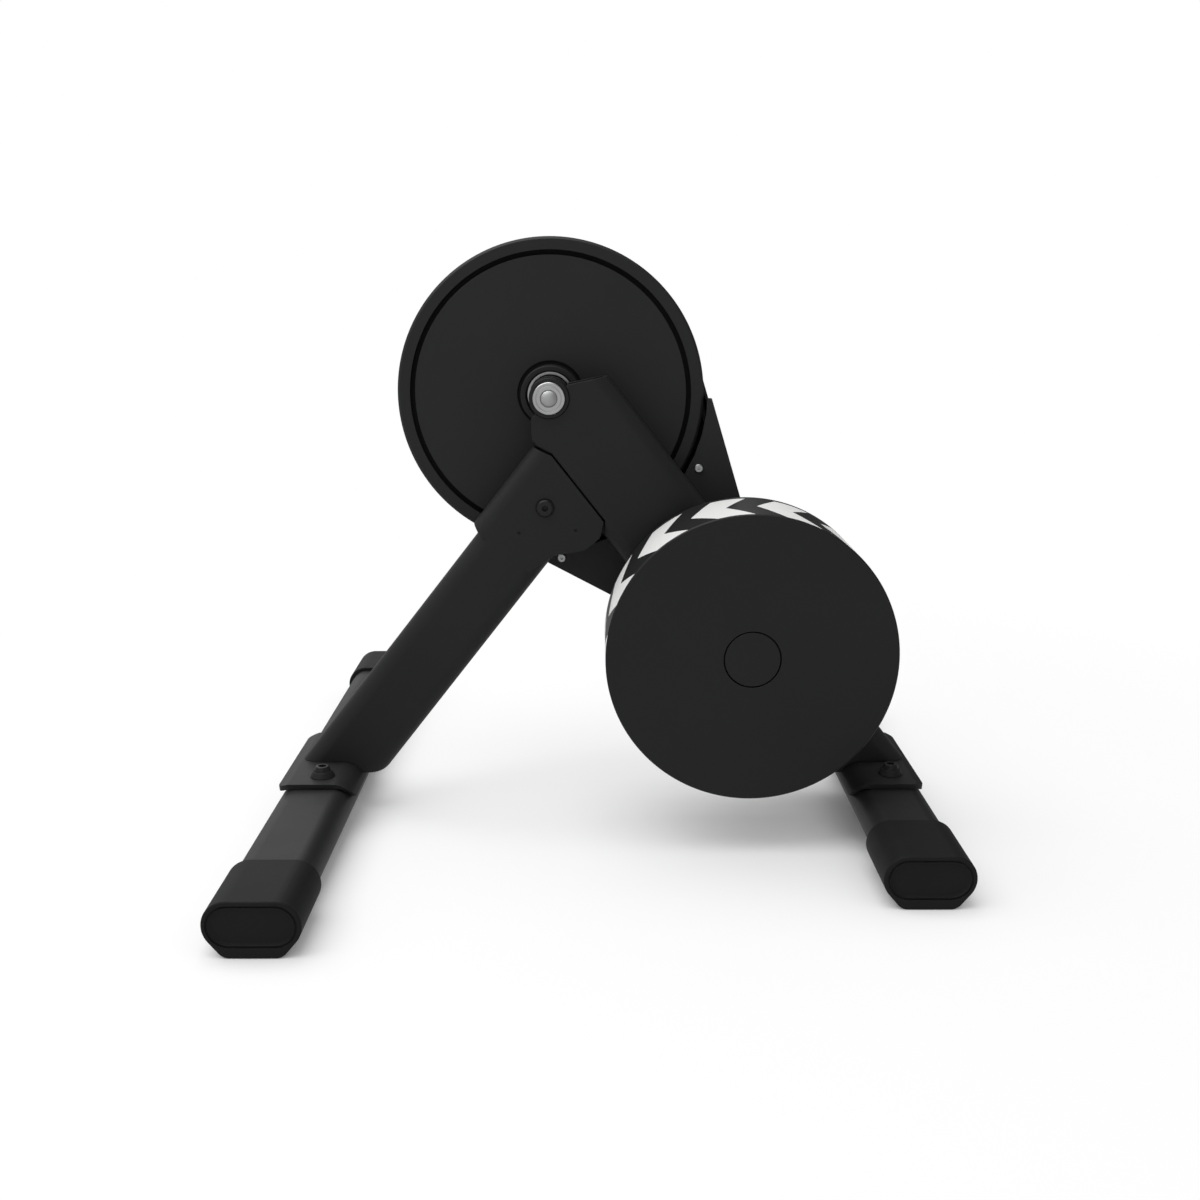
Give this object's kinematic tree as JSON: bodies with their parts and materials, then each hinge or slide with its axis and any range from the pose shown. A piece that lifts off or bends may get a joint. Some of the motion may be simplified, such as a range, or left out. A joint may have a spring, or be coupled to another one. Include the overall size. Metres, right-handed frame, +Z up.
{
  "type": "direct drive bike trainer",
  "caption": "Direct drive indoor bike trainer: leaning flat-oval frame on two foot bars, axle with a big covered belt pulley, and a heavy flywheel beside the frame.",
  "frame": {"origin": "on the floor, under the middle of the footprint", "axes": "+Z up; +Y along the foot bars, from the flywheel's side to the drive side; -X towards the bike's front wheel"},
  "size_m": [0.4848, 0.584, 0.431],
  "materials": {
    "frame_black": "satin black powder coat",
    "cap_rubber": "fine matte",
    "cover_plastic": "satin moulded",
    "pulley_black": "satin black anodised",
    "flywheel_black": "satin black paint, plain white chevrons on the rim",
    "bolt_black": "black oxide",
    "axle_silver": "bright turned",
    "steel": "turned",
    "freehub_alloy": "satin machined",
    "core_iron": "plain ground",
    "coil_copper": "enamelled copper wire",
    "belt_rubber": "ribbed belt",
    "board_green": "solder mask",
    "lens": "clear"
  },
  "bodies": {
    "frame": {"front_foot_bar": "frame_black", "rear_foot_bar": "frame_black", "front_left_cap": "cap_rubber", "rear_left_cap": "cap_rubber", "front_right_cap": "cap_rubber", "rear_right_cap": "cap_rubber", "front_saddle": "frame_black", "rear_saddle": "frame_black", "front_left_washer": "frame_black", "front_right_washer": "frame_black", "rear_left_washer": "frame_black", "rear_right_washer": "frame_black", "front_left_saddle_bolt": "bolt_black", "front_right_saddle_bolt": "bolt_black", "rear_left_saddle_bolt": "bolt_black", "rear_right_saddle_bolt": "bolt_black", "front_left_insert": "steel", "front_right_insert": "steel", "rear_left_insert": "steel", "rear_right_insert": "steel", "main_beam": "frame_black", "front_leg": "frame_black", "leg_bracket": "frame_black", "leg_bolt": "bolt_black", "leg_nut": "steel", "axle": "steel", "left_axle_end": "axle_silver", "right_axle_end": "axle_silver", "axle_collar": "bolt_black", "axle_lock_ring": "axle_silver", "outer_belt_cover": "cover_plastic", "inner_belt_cover": "cover_plastic", "cover_screw_1": "axle_silver", "cover_screw_2": "axle_silver", "standoff_screw_1": "bolt_black", "standoff_screw_2": "bolt_black", "belt": "belt_rubber", "idler_pin": "bolt_black", "bearing_housing": "steel", "front_shaft_bearing": "steel", "rear_shaft_bearing": "steel", "brake_core": "core_iron", "brake_coil": "coil_copper", "speed_sensor": "cover_plastic", "electronics_housing": "cover_plastic", "circuit_board": "board_green", "power_inlet": "cover_plastic", "status_lens": "lens"},
    "pulley": {"drive_pulley": "pulley_black", "left_hub_bearing": "steel", "right_hub_bearing": "steel"},
    "freehub": {"freehub_body": "freehub_alloy"},
    "flywheel": {"flywheel": "flywheel_black", "flywheel_cap": "cover_plastic", "flywheel_nut": "steel", "flywheel_shaft": "steel", "small_pulley": "steel"},
    "idler": {"idler_pulley": "steel"}
  },
  "joints": [
    {"name": "flywheel_spin", "type": "hinge", "parent": "frame", "child": "flywheel", "pos_m": [0.10344, 0, 0.14348], "axis": [0, 1, 0], "continuous": true},
    {"name": "pulley_spin", "type": "hinge", "parent": "frame", "child": "pulley", "pos_m": [-0.0389, 0, 0.3158], "axis": [0, 1, 0], "continuous": true},
    {"name": "idler_spin", "type": "hinge", "parent": "frame", "child": "idler", "pos_m": [0.05319, 0, 0.16035], "axis": [0, 1, 0], "continuous": true},
    {"name": "freehub_spin", "type": "hinge", "parent": "pulley", "child": "freehub", "pos_m": [-0.0389, 0, 0.3158], "axis": [0, 1, 0], "continuous": true}
  ],
  "couplings": [
    {"joint": "pulley_spin", "follows": "flywheel_spin", "ratio": 0.12264},
    {"joint": "idler_spin", "follows": "flywheel_spin", "ratio": -1.4444}
  ]
}
